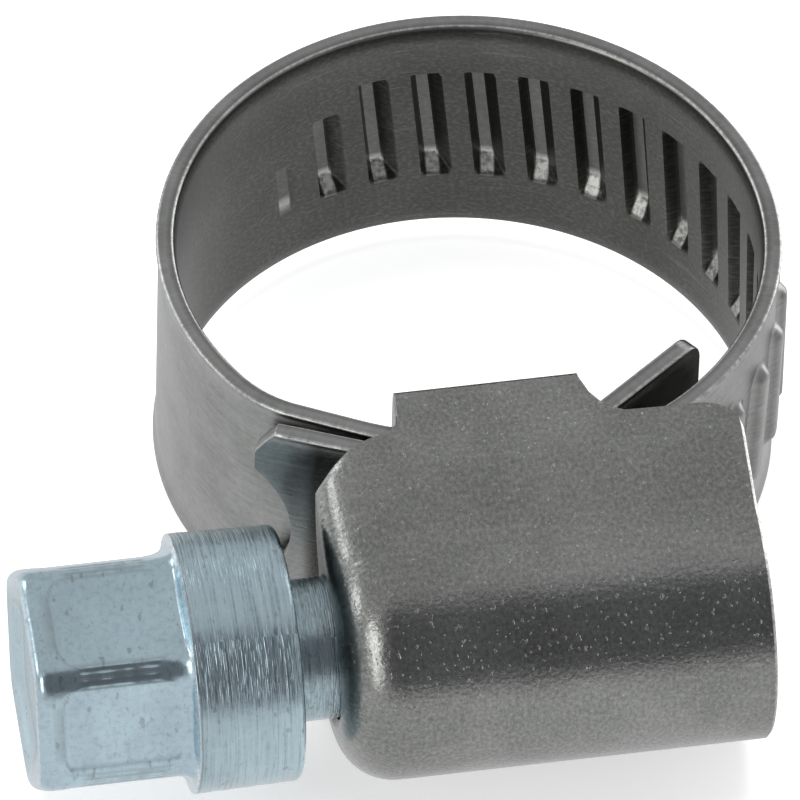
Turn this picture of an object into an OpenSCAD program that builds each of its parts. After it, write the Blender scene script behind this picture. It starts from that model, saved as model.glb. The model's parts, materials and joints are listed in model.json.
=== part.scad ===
// Worm-drive hose clamp, 12-20 mm size, 9 mm band, shown closed to about 18.6 mm.
// The screw's axis runs along X with its hexagon head at -X, the housing is at -Y,
// and the hose runs along Z through the origin, which is the centre of the ring.

/* [Band] */
// Width of the band, along the hose
band_w = 9; // [8:0.5:9]
// Thickness of the band strip
band_t = 0.6; // [0.5:0.05:0.6]
// Inner radius of the round part of the ring
ring_r = 9.3; // [9.2:0.05:9.4]
// Distance between two thread ridges, measured along the middle of the strip
thread_pitch = 1.806; // [1.75:0.01:1.85]
// Height of a thread ridge above the band's outer face
ridge_h = 0.35; // [0.2:0.05:0.4]
// Width of a thread ridge, along the strip
ridge_w = 0.8; // [0.6:0.05:0.85]
// Length of a thread ridge, across the strip
ridge_len = 4.6; // [3:0.1:5.5]
// Slope of the thread ridges, in degrees
ridge_slope = 6; // [3:0.5:7]
// Number of thread ridges between the screw and the plain part of the ring
ridge_count = 19; // [12:1:21]
// Length of the tongue on the band's inner end
tongue_len = 4.5; // [3:0.1:4.8]
// Slope of the tongue, in degrees from the screw's axis
tongue_slope = 37.3; // [35:0.1:40]
// Gap between two neighbouring spans of the strip, at their living hinge
span_gap = 0.04; // [0.03:0.01:0.1]

/* [Housing] */
// Thickness of the housing's sheet
sheet_t = 0.7; // [0.6:0.05:0.7]
// Outer radius of the housing's round front
front_r = 4.4; // [4.3:0.05:4.6]
// Half the distance over the housing's two side plates
side_z = 5.45; // [5.4:0.05:5.6]
// Distance from the ring's centre to the outside of the folded tabs
tab_y = 6.85; // [6.8:0.01:6.95]
// How far each folded tab reaches down over the band's inner face
tab_fold = 3.2; // [2:0.1:4]

/* [Screw] */
// Distance from the ring's centre to the screw's axis
screw_y = 12.65; // [12.6:0.01:12.7]
// Size of the hexagon across its flats
hex_af = 7; // [6:0.5:7]
// Outer radius of the worm thread
worm_r = 2.88; // [2.8:0.01:2.9]
// Radius of the worm's core
core_r = 2.4; // [2.2:0.05:2.45]
// Radius of the collar behind the hexagon
collar_r = 4.12; // [4.05:0.01:4.3]
// Radius of the neck that turns in the housing's end wall
neck_r = 2.25; // [2:0.05:2.3]

/* [Hidden] */
SPANS = 7;
ridges_per_span = 4;
last_driven_ridge = 3;
$fn = 96;

// The strip's middle line: a circle about the origin for the ring, and two larger circles
// about the point [0, guide_y], for the layer that the screw drives and the fixed layer inside it.
ring_mid = ring_r + band_t / 2;
guide_y = 1.7;
guide_mid = 11.1;
layer_gap = 0.2;
base_mid = guide_mid - band_t - layer_gap;
// Ridges lie at whole steps of the pitch along the strip, from this place at the front.
ridge_start = 0.38 * thread_pitch;
// Angles are counted from the front of the ring, positive towards +X.
// A tighter arc eases the driven layer from its own circle onto the ring's.
ease_r = 6;
ease_y = (guide_y ^ 2 + (ring_mid - ease_r) ^ 2 - (guide_mid - ease_r) ^ 2) / (2 * guide_y);
ease_x = sqrt((ring_mid - ease_r) ^ 2 - ease_y ^ 2);
ease_start = atan2(ease_x, guide_y - ease_y);
ease_end = atan2(ease_x, -ease_y);
ease_start_s = arc_length(guide_mid, ease_start);
ease_end_s = ease_start_s + arc_length(ease_r, ease_end - ease_start);
first_hinge = ease_end + arc_turn(ring_mid, ridge_s(last_driven_ridge + 0.5) - ease_end_s);
hinge_step = ridges_per_span * thread_pitch / ring_mid * 180 / PI;
last_hinge = first_hinge + (SPANS - 1) * hinge_step;
gap_turn = span_gap / ring_mid * 180 / PI;

// The fixed layer: from the open joint under the tabs to where it bends into the tongue.
open_joint_turn = -12.3;
tongue_bend_turn = 7.5;
tongue_bend_r = 3;
tongue_corner_r = 0.8;

// The strip's way from the fixed layer's circle out to the ring: straight, then one bend.
step_turn = 27.8;
step_a = 360 - last_hinge;
step_x = ring_mid * sin(step_a) - base_mid * sin(step_turn);
step_y = base_mid * cos(step_turn) - guide_y - ring_mid * cos(step_a);
bend_x = sin(step_a) - sin(step_turn);
bend_y = cos(step_turn) - cos(step_a);
step_det = bend_y * cos(step_turn) - bend_x * sin(step_turn);
step_bend_r = (step_y * cos(step_turn) - step_x * sin(step_turn)) / step_det;
step_straight = (step_x * bend_y - step_y * bend_x) / step_det;

// The tail: the end of the driven layer, straight past the housing.
tail_turn = 24.3;
tail_s = arc_length(guide_mid, tail_turn);
tail_len = 3.75;
tail_smooth = 2.6;
tail_corner = [0.7, 1.1];
tail_notch_r = 3.4;
tail_notch_depth = 1.25;

ridge_r = guide_mid + band_t / 2 + ridge_h / 2;
worm_pitch = thread_pitch / guide_mid * ridge_r;
pocket_side = 0.05;
ridge_root = 0.2;
ridge_room = ridge_w / 2 + 0.25;
arc_steps = 16;

// The housing, along the screw's axis.
front_x = [-6.6, 7];
nose_r = 2.1;
nose_chamfer = 0.9;
slope_y = 10.1;
wall_y = 10.2;
wall_inset = 0.4;
tab_x = [-3.65, 2.2];
tab_bend_r = 1;
neck_hole_r = neck_r + 0.06;
// The right end of the side plates: its corner, and how far back its edge lies.
mouth_corner_r = 1.2;
mouth_y = 8.85;
// Corners of the side plates' back edge, to the right and to the left of the tabs.
right_edge = [[3.4, -mouth_y], [2.75, -8.45], [tab_x[1] + 0.15, -tab_y - tab_bend_r]];
left_edge = [[tab_x[0], -tab_y - tab_bend_r], [-4.15, -8.85], [-5.4, -8.9], [-6.1, -9.3]];
// A distance larger than any part, and how far joined pieces reach into each other.
far = 20;
weld = 0.1;

// The screw, along its axis.
hex_x = [-16.3, -11.34];
hex_turn = 43;
hex_round = 0.7;
hex_corner_r = hex_af / sqrt(3);
collar_x = -7.93;
collar_round = 0.25;
core_round = 0.3;
worm_x = [-5.4, 5.6];
thread_half = [0.5, 0.26];
thread_steps = 24;
thread_end = 0.7;
thread_count = floor((worm_x[1] - worm_x[0] - 2 * thread_end) / worm_pitch * thread_steps);
// The thread lies midway between two ridges where it faces the band.
worm_meets_x = (ridge_start + thread_pitch / 2) * ridge_r / guide_mid;
worm_phase = -360 * (worm_meets_x - worm_x[0] - thread_end) / worm_pitch;

// One stretch of the strip round a centre, from angle a0 to a1.
module strip_arc(mid, a0, a1) {
    rotate([0, 0, a0 - 90])
        rotate_extrude(angle = a1 - a0, $fn = 180)
            translate([mid - band_t / 2, -band_w / 2])
                square([band_t, band_w]);
}

function arc_length(mid, turn) = mid * turn * PI / 180;
function arc_turn(mid, length) = length / mid * 180 / PI;

// A place on a circle, as [x, y, angle].
function place(centre, mid, turn) =
    [centre[0] + mid * sin(turn), centre[1] - mid * cos(turn), turn];

// Places along an arc, from step first to step last of its steps.
function arc_places(centre, mid, a0, a1, first = 0) =
    [for (i = [first:arc_steps]) place(centre, mid, a0 + (a1 - a0) * i / arc_steps)];

// The place at a distance straight ahead of another.
function ahead(p, length) = p + length * [cos(p[2]), sin(p[2]), 0];

// The strip that follows a list of places on its middle line, as one solid.
module strip(places) {
    n = len(places) - 1;
    linear_extrude(band_w, center = true)
        polygon(concat(
            [for (i = [0:n]) beside(places[i], band_t / 2)],
            [for (i = [0:n]) beside(places[n - i], -band_t / 2)]
        ));
}

// The point beside a place, towards the inside of the ring.
function beside(p, offset) = [p[0] - offset * sin(p[2]), p[1] + offset * cos(p[2])];

// Moves a piece to a place on the strip.
module at_place(p) {
    translate([p[0], p[1], 0])
        rotate([0, 0, p[2]])
            children();
}

// A place on the driven strip's middle line, at distance s from the front.
function strip_place(s) =
    s < -tail_s ? ahead(place([0, guide_y], guide_mid, -tail_turn), s + tail_s)
    : s < ease_start_s ? place([0, guide_y], guide_mid, arc_turn(guide_mid, s))
    : s < ease_end_s ? place([ease_x, ease_y], ease_r,
        ease_start + arc_turn(ease_r, s - ease_start_s))
    : place([0, 0], ring_mid, ease_end + arc_turn(ring_mid, s - ease_end_s));

// The distance along the strip at which it reaches angle a of the ring.
function ring_s(a) = ease_end_s + arc_length(ring_mid, a - ease_end);

// The distance along the strip of ridge number i.
function ridge_s(i) = ridge_start + i * thread_pitch;

// One pressed ridge on the outer face. grow is negative for the pocket behind it.
module ridge(y, grow = 0) {
    translate([0, y, 0])
        rotate([0, ridge_slope, 0])
            rotate([90, 0, 0])
                linear_extrude(ridge_h + ridge_root)
                    union() {
                        square([ridge_w + 2 * grow, ridge_len - ridge_w], center = true);
                        for (end = [-1, 1])
                            translate([0, end * (ridge_len - ridge_w) / 2])
                                circle(r = ridge_w / 2 + grow, $fn = 24);
                    }
}

// Adds the ridges with these numbers to a stretch of strip, with their pockets.
module with_ridges(numbers) {
    difference() {
        union() {
            children();
            for (i = numbers)
                at_place(strip_place(ridge_s(i)))
                    ridge(ridge_root - band_t / 2);
        }
        for (i = numbers)
            at_place(strip_place(ridge_s(i)))
                ridge(ridge_root + band_t / 2, -pocket_side);
    }
}

// The outline of the tail's end, which is taken away from a square end.
module tail_end_cut() {
    for (side = [-1, 1])
        scale([1, side])
            polygon([
                [-1, band_w / 2 + 1],
                [tail_corner[0], band_w / 2 + 1],
                [tail_corner[0], band_w / 2],
                [0, band_w / 2 - tail_corner[1]],
                [-1, band_w / 2 - tail_corner[1]]
            ]);
    translate([tail_notch_depth - tail_notch_r, 0])
        circle(r = tail_notch_r);
}

// The numbers of the ridges that lie whole between two places on the strip.
function ridges(s0, s1) =
    [ceil((s0 + ridge_room - ridge_start) / thread_pitch) :
        min(ridge_count, floor((s1 - ridge_room - ridge_start) / thread_pitch))];

module band_threaded_end() {
    tip = strip_place(-tail_s - tail_len);
    color("#8f8c86")
        difference() {
            with_ridges(ridges(-tail_s - tail_len + tail_smooth, ring_s(first_hinge)))
                strip(concat(
                    [tip],
                    arc_places([0, guide_y], guide_mid, -tail_turn, ease_start),
                    arc_places([ease_x, ease_y], ease_r, ease_start, ease_end, 1),
                    arc_places([0, 0], ring_mid, ease_end, first_hinge - gap_turn / 2, 1)
                ));
            at_place(tip)
                rotate([90, 0, 0])
                    linear_extrude(3 * band_t, center = true)
                        tail_end_cut();
        }
}

// The living hinge number k lies at this angle round the ring.
function hinge_turn(k) = first_hinge + (k - 1) * hinge_step;

module band_span(k) {
    color("#8f8c86")
        with_ridges(ridges(ring_s(hinge_turn(k)), ring_s(hinge_turn(k + 1))))
            strip_arc(ring_mid, hinge_turn(k) + gap_turn / 2, hinge_turn(k + 1) - gap_turn / 2);
}

module band_last_span() {
    base_end = place([0, guide_y], base_mid, -step_turn);
    bend_start = ahead(base_end, -step_straight);
    bend_centre = beside(bend_start, step_bend_r);
    bend_end_turn = arc_turn(step_bend_r, span_gap / 2) - step_a;
    color("#8f8c86")
        strip(concat(
            arc_places(bend_centre, step_bend_r, bend_end_turn, -step_turn),
            arc_places([0, guide_y], base_mid, -step_turn, open_joint_turn)
        ));
}

module band_fixed_end() {
    bend_start = place([0, guide_y], base_mid, tongue_bend_turn);
    bend_centre = beside(bend_start, tongue_bend_r);
    bend_end = place(bend_centre, tongue_bend_r, tongue_slope);
    tip = ahead(bend_end, tongue_len);
    color("#8f8c86")
        difference() {
            strip(concat(
                arc_places([0, guide_y], base_mid, open_joint_turn + gap_turn, tongue_bend_turn),
                arc_places(bend_centre, tongue_bend_r, tongue_bend_turn, tongue_slope, 1),
                [tip]
            ));
            for (side = [-1, 1])
                at_place(tip)
                    rotate([90, 0, 0])
                        linear_extrude(3 * band_t, center = true)
                            translate([-tongue_corner_r, side * (band_w / 2 - tongue_corner_r)])
                                corner_cut(side);
        }
}

// What is taken away to round the tongue's corner on one side.
module corner_cut(side) {
    difference() {
        translate([0, min(side, 0) * 2 * tongue_corner_r])
            square(2 * tongue_corner_r);
        circle(r = tongue_corner_r);
    }
}

// Half of the housing's round front, closed by a rounded end wall at the head's end.
module round_front() {
    translate([0, -screw_y, 0])
        rotate([0, 90, 0])
            rotate([0, 0, 180])
                rotate_extrude(angle = 180)
                    difference() {
                        front_profile(0, front_x[1]);
                        front_profile(sheet_t, front_x[1] + 1);
                        translate([0, front_x[0] - 1])
                            square([neck_hole_r, 2 * sheet_t + 1]);
                    }
}

// The round front's outline from its axis outwards, or that of its hollow with an inset.
module front_profile(inset, x1) {
    x0 = front_x[0] + inset;
    r = nose_r - inset;
    translate([0, x0 + r])
        square([front_r - inset, x1 - x0 - r]);
    translate([0, x0])
        square([front_r - inset - r, r + weld]);
    translate([front_r - inset - r, x0 + r])
        intersection() {
            circle(r = r, $fn = 64);
            translate([0, -r])
                square(r);
        }
}

// One side plate: it slopes outwards from the round front and then runs straight.
module side_plate() {
    translate([front_x[0], 0, 0])
        rotate([90, 0, 90])
            linear_extrude(front_x[1] - front_x[0])
                polygon([
                    [-screw_y, front_r],
                    [-slope_y, side_z],
                    [-tab_y - tab_bend_r, side_z],
                    [-tab_y - tab_bend_r, side_z - sheet_t],
                    [-slope_y + weld, side_z - sheet_t],
                    [-screw_y, front_r - sheet_t]
                ]);
}

// The end wall between the side plates, beyond the screw's axis, with half the neck's hole.
module end_wall() {
    translate([front_x[0], 0, 0])
        rotate([90, 0, 90])
            linear_extrude(sheet_t)
                difference() {
                    polygon([
                        [-screw_y, weld - front_r],
                        [-screw_y, front_r - weld],
                        [-wall_y, side_z - wall_inset],
                        [-wall_y, wall_inset - side_z]
                    ]);
                    translate([-screw_y, 0])
                        circle(r = neck_hole_r);
                }
}

// The side plates' outline, seen along the hose.
module side_outline() {
    difference() {
        polygon([
            [front_x[0] - 1, -screw_y - front_r - 1],
            [front_x[1], -screw_y - front_r - 1],
            [front_x[1], -mouth_y],
            each right_edge,
            each left_edge,
            [front_x[0] - 1, -wall_y]
        ]);
        translate([front_x[1] - mouth_corner_r, -mouth_y - mouth_corner_r])
            difference() {
                square(2 * mouth_corner_r);
                circle(r = mouth_corner_r);
            }
    }
}

// One side's tab, folded round the band's edge and down over its inner face.
module folded_tab() {
    bend_y = -tab_y - tab_bend_r;
    bend_z = side_z - tab_bend_r;
    translate([tab_x[0], 0, 0])
        rotate([90, 0, 90])
            linear_extrude(tab_x[1] - tab_x[0])
                union() {
                    intersection() {
                        difference() {
                            translate([bend_y, bend_z])
                                circle(r = tab_bend_r, $fn = 48);
                            translate([bend_y, bend_z])
                                circle(r = tab_bend_r - sheet_t, $fn = 48);
                        }
                        translate([bend_y - weld / 5, bend_z - weld / 5])
                            square(2 * tab_bend_r);
                    }
                    translate([-tab_y - sheet_t, side_z - tab_bend_r - tab_fold])
                        square([sheet_t, tab_fold]);
                }
}

// The sharp corner between the end wall and each side plate is cut off at a slant.
module nose_chamfers() {
    for (side = [-1, 1])
        translate([0, 1 - screw_y, 0])
            rotate([90, 0, 0])
                linear_extrude(2 * screw_y, center = true)
                    scale([1, side])
                        polygon([
                            [front_x[0] - 1, side_z + 1],
                            [front_x[0] - 1, side_z - nose_chamfer - 1],
                            [front_x[0] + nose_chamfer + 1, side_z + 1]
                        ]);
}

module housing() {
    color("#a7a59f") {
        round_front();
        difference() {
            intersection() {
                union() {
                    side_plate();
                    mirror([0, 0, 1])
                        side_plate();
                    end_wall();
                }
                linear_extrude(3 * side_z, center = true)
                    side_outline();
            }
            intersection() {
                nose_chamfers();
                translate([-far, -screw_y, -far])
                    cube(2 * far);
            }
        }
        folded_tab();
        mirror([0, 0, 1])
            folded_tab();
    }
}

// The worm thread's cross-section at step i: two points at the core and two at the crest.
function thread_point(i, side, out) =
    let (
        turn = i * 360 / thread_steps,
        r = out == 0 ? core_r - weld : worm_r,
        x = worm_x[0] + thread_end + i * worm_pitch / thread_steps + side * thread_half[out]
    )
    [x, r * cos(turn + worm_phase), r * sin(turn + worm_phase)];

module worm_thread() {
    corners = [[-1, 0], [1, 0], [1, 1], [-1, 1]];
    points = [
        for (i = [0:thread_count], c = corners)
            thread_point(i, c[0], c[1])
    ];
    sides = [
        for (i = [0:thread_count - 1], c = [0:3])
            let (a = 4 * i + c, b = 4 * i + (c + 1) % 4)
            [a, a + 4, b + 4, b]
    ];
    end = 4 * thread_count;
    polyhedron(points, concat([[0, 1, 2, 3]], sides, [[end + 3, end + 2, end + 1, end]]));
}

// The screw's round parts, turned about X: hexagon blank, collar, neck and core.
module turned(x0, x1, r, round0 = 0, round1 = 0) {
    rotate([0, 90, 0])
        rotate_extrude()
            union() {
                translate([0, x0 + round0])
                    square([r, x1 - x0 - round0 - round1]);
                translate([0, x0])
                    square([r - max(round0, round1), x1 - x0]);
                if (round0 > 0)
                    intersection() {
                        translate([r - round0, x0 + round0])
                            circle(r = round0, $fn = 48);
                        translate([0, x0])
                            square([r, x1 - x0]);
                    }
                if (round1 > 0)
                    intersection() {
                        translate([r - round1, x1 - round1])
                            circle(r = round1, $fn = 48);
                        translate([0, x0])
                            square([r, x1 - x0]);
                    }
            }
}

module screw() {
    color("#b9c6cc")
        translate([0, -screw_y, 0]) {
            intersection() {
                translate([hex_x[0], 0, 0])
                    rotate([hex_turn, 0, 0])
                        rotate([0, 90, 0])
                            cylinder(r = hex_corner_r, h = hex_x[1] - hex_x[0], $fn = 6);
                turned(hex_x[0], hex_x[1] + 1, hex_corner_r + weld, hex_round);
            }
            turned(hex_x[1], collar_x, collar_r, 0, collar_round);
            turned(collar_x - weld, worm_x[0] + weld, neck_r);
            turned(worm_x[0], worm_x[1], core_r, 0, core_round);
            worm_thread();
        }
}

housing();
screw();
band_fixed_end();
band_threaded_end();
band_span(1);  // band_span_1
band_span(2);  // band_span_2
band_span(3);  // band_span_3
band_span(4);  // band_span_4
band_span(5);  // band_span_5
band_span(6);  // band_span_6
band_last_span();  // band_span_7
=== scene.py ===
"""Looks of the worm-drive hose clamp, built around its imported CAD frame.

Lengths are in millimetres and angles in degrees, until a mesh is made in metres.
The frame: X along the screw from its head, Y from the housing across the ring, Z along the hose.
"""

import json
from math import cos, degrees, hypot, pi, radians, sin, sqrt, tan

import bpy
import numpy as np
from mathutils import Matrix, Vector


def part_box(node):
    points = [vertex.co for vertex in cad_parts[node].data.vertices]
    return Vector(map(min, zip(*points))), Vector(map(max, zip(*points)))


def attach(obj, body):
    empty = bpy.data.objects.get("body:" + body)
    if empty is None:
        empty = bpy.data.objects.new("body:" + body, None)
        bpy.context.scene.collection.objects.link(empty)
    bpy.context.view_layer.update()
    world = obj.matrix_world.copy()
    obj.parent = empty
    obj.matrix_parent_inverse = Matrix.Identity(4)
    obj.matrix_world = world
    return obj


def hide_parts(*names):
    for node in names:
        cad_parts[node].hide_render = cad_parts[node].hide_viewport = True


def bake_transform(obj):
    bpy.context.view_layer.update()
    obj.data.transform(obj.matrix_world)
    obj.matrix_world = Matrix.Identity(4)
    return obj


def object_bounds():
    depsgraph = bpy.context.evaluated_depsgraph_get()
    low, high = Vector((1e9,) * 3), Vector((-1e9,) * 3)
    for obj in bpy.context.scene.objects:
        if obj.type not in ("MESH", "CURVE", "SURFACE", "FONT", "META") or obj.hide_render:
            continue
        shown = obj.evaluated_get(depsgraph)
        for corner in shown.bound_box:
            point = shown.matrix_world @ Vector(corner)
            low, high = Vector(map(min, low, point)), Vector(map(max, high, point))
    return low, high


MM = 0.001

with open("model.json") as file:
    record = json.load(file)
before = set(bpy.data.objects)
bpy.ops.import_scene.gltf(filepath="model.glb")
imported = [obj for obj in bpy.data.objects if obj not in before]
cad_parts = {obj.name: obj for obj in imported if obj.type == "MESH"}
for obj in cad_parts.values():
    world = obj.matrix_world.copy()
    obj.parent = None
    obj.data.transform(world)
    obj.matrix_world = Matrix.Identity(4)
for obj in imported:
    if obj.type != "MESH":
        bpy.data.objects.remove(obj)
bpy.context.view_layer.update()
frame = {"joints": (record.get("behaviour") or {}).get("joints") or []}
joint_places = {
    joint["name"]: [c / MM for c in joint["pos_m"]] for joint in frame["joints"]
}


def node_box(node):
    """Lowest and highest corner of a CAD node, in millimetres."""
    return [np.array(corner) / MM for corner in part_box(node)]


# ---------------------------------------------------------------- driving sizes

# Band
BAND_T = 0.6
GUIDE_MID = 11.1
LAYER_GAP = 0.2
THREAD_PITCH = 1.806
RIDGE_START = 0.38 * THREAD_PITCH
RIDGE_COUNT = 19
SPANS = 7
RIDGES_PER_SPAN = 4
# The first cut between two pieces, counted in ridges.
FIRST_CUT = 1.5
RIDGE_LEN = 4.6
RIDGE_W = 0.84
STATION = THREAD_PITCH / 24
# Across a pocket, in stations: its long wall, its floor and its short wall.
POCKET_ACROSS = (-7, -1, 4, 7)
POCKET_Z = (-2.25, -1.6, 2.3, 2.5)
POCKET_DEPTH = 0.45
# How deep the last thread was pressed, as a share of the others.
FAINT_THREAD = 0.08
RIDGE_H = 0.34
RIDGE_SLOPE = 6
EASE_R = 6
TAIL_TURN = 24.3
TAIL_LEN = 3.75
TAIL_SMOOTH = 2.6
TAIL_CORNER = (0.7, 1.1)
TAIL_NOTCH_R = 3.4
TAIL_NOTCH_DEPTH = 1.25
STEP_TURN = 27.8
OPEN_JOINT_TURN = -12.3
# Clearance between the strip's two ends there, which closes by half as the ring tightens.
OPEN_GAP = 0.08
TONGUE_BEND_TURN = 7.5
TONGUE_BEND_R = 3
TONGUE_SLOPE = 37.3
TONGUE_LEN = 4.5
TONGUE_CORNER_R = 0.8
RIM_R = 0.13
FLARE_W = 0.7
FLARE = 0.1
# The fixed layer flares less, as a share of the ring's flare.
BASE_FLARE = 0.6
# A cut end thins over three stations, to these shares of the band's thickness.
TIP_SHARES = [0.45, 0.8, 0.95]
TIP_STEP = 0.03
TIP_SHIFT = 0.1
# How strongly painted shade darkens the band's inner face.
INNER_PAINTED_SHADE = 0.85

# Housing
SHEET_T = 0.7
FRONT_R = 4.4
NOSE_LEN = 1.8
NOSE_INSET = 1.75
NOSE_EDGE_INSET = 1.3
SLOPE_Y = -10.1
WALL_Y = -10.2
TAB_X = (-3.65, 2.2)
TAB_Y = -6.85
TAB_BEND_R = 0.45
TAB_FOLD = 3.2
TAB_END_INSET = 0.35
# How far beside a tab the side plate's edge curves up into it.
TAB_ROOT = 0.6
WALL_BULGE = 0.1
EDGE_BEVEL = 0.07
MOUTH_START = 3.4
MOUTH_Y = -8.85
MOUTH_CORNER_R = 1.2
CHAMFER = 0.1

# Screw
HEX_AF = 7
HEX_TURN = 133
HEX_LEN = 4.96
COLLAR_X = -7.93
COLLAR_R = 4.12
COLLAR_ROUND = 0.2
COLLAR_TAPER = 0.07
NECK_R = 2.25
NECK_GAP = 0.06
CORE_R = 2.4
CORE_ROUND = 0.3
WORM_R = 2.88
WORM_X = (-5.4, 5.6)
# Half the thread's width at its crest and at its root.
THREAD_HALF = (0.26, 0.5)
END_R = 0.42
END_DISH = 0.3
PAD_MARGIN = 0.3
PAD_DEPTH = 0.06
EDGE_LINE_H = 0.03

# From the frame
screw_y = joint_places["screw_turn"][1]
guide_y = joint_places["band_drive"][1]
hinges = [joint_places[f"band_flex_{k}"] for k in range(1, SPANS + 1)]
ring_mid = hypot(hinges[0][0], hinges[0][1])
half_w = node_box("band_span_1")[1][2]
side_z = node_box("housing")[1][2]
front_x = (node_box("housing")[0][0], node_box("housing")[1][0])
hex_x0 = node_box("screw")[0][0]
floor_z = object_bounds()[0][2]


# ---------------------------------------------------------------- mesh helpers


def smooth(low, high, value):
    """0 up to low, 1 from high, and an even S between them."""
    t = np.clip((np.asarray(value, float) - low) / (high - low), 0, 1)
    return t * t * (3 - 2 * t)


def quads(uv, closed=False):
    """Faces and corner UVs of a grid, from its rows and columns of UVs in millimetres.
    closed joins the last column to the first, and uv then has one column more."""
    rows, cols = uv.shape[0], uv.shape[1] - closed
    faces, uvs = [], []
    for i in range(rows - 1):
        for j in range(uv.shape[1] - 1):
            k = (j + 1) % cols
            a, b = i * cols, (i + 1) * cols
            faces.append((a + j, b + j, b + k, a + k))
            uvs += [uv[i, j], uv[i + 1, j], uv[i + 1, j + 1], uv[i, j + 1]]
    return faces, uvs


def uv_grid(us, vs):
    return np.stack(np.meshgrid(us, vs, indexing="ij"), axis=-1)


def make_piece(name, points, faces, uvs, material, grime_and_painted_light=None, worked=None, sharp=40):
    """A mesh object from points in millimetres. At each point, the first attribute darkens it for
    soiling and painted shade where above 0, and brightens it for painted highlights and exposed
    metal where below 0, and worked says how plain the lines of working are."""
    mesh = bpy.data.meshes.new(name)
    mesh.from_pydata((np.asarray(points) * MM).tolist(), [], faces)
    layer = mesh.uv_layers.new(name="Surface")
    layer.data.foreach_set("uv", np.asarray(uvs, np.float32).ravel())
    for label, values, usual in (("grime_and_painted_light", grime_and_painted_light, 0), ("worked", worked, 1)):
        attribute = mesh.attributes.new(label, "FLOAT", "POINT")
        values = np.full(len(points), usual) if values is None else values
        attribute.data.foreach_set("value", np.asarray(values, np.float32))
    mesh.shade_smooth()
    mesh.set_sharp_from_angle(angle=radians(sharp))
    mesh.materials.append(material)
    made = bpy.data.objects.new(name, mesh)
    bpy.context.collection.objects.link(made)
    return made


# ---------------------------------------------------------------- materials


def add(tree, kind, values=None, **settings):
    """A shader node with its settings, and its inputs set or linked."""
    made = tree.nodes.new(kind)
    for key, value in settings.items():
        setattr(made, key, value)
    for socket, value in (values or {}).items():
        if isinstance(value, bpy.types.NodeSocket):
            tree.links.new(value, made.inputs[socket])
        else:
            made.inputs[socket].default_value = value
    return made


def noise(tree, coords, stretch, detail=3, roughness=0.6):
    """Noise over stretched coordinates, about 0.5 on average."""
    mapped = add(
        tree, "ShaderNodeMapping", {"Vector": coords, "Scale": (*stretch, stretch[0])}
    )
    made = add(
        tree,
        "ShaderNodeTexNoise",
        {
            "Vector": mapped.outputs[0],
            "Scale": 1.0,
            "Detail": detail,
            "Roughness": roughness,
        },
    )
    return made.outputs[0]


def ramp(tree, value, low, high, out_low=0.0, out_high=1.0):
    """A smooth step from low to high."""
    made = add(
        tree,
        "ShaderNodeMapRange",
        {
            "Value": value,
            "From Min": low,
            "From Max": high,
            "To Min": out_low,
            "To Max": out_high,
        },
        interpolation_type="SMOOTHSTEP",
    )
    return made.outputs[0]


def maths(tree, operation, a, b):
    return add(
        tree, "ShaderNodeMath", {0: a, 1: b}, operation=operation
    ).outputs[0]


def mix(tree, factor, a, b):
    """Mixes two colours, each from a node or three numbers."""
    a, b = (c if isinstance(c, bpy.types.NodeSocket) else (*c, 1) for c in (a, b))
    made = add(tree, "ShaderNodeMix", {0: factor, 6: a, 7: b}, data_type="RGBA")
    return made.outputs[2]


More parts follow.
